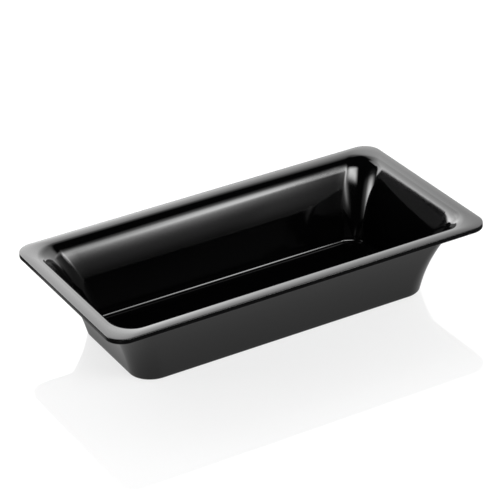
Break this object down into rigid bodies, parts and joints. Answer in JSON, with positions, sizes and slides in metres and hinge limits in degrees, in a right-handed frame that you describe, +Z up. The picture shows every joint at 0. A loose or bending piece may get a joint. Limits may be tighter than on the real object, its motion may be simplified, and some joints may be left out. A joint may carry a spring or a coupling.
{
  "type": "food pan",
  "caption": "Shallow rectangular food pan with flared walls, rounded corners, a flat base and a crowned rim, wider at the short ends, that hangs in a counter opening.",
  "frame": {"origin": "on the resting surface, under the middle of the flat base", "axes": "+X along the pan, +Y across it, +Z up, out of the opening"},
  "size_m": [0.325, 0.176, 0.065],
  "materials": {
    "gloss_black": "high gloss, moulded"
  },
  "bodies": {
    "root": {"pan": "gloss_black"}
  },
  "joints": []
}
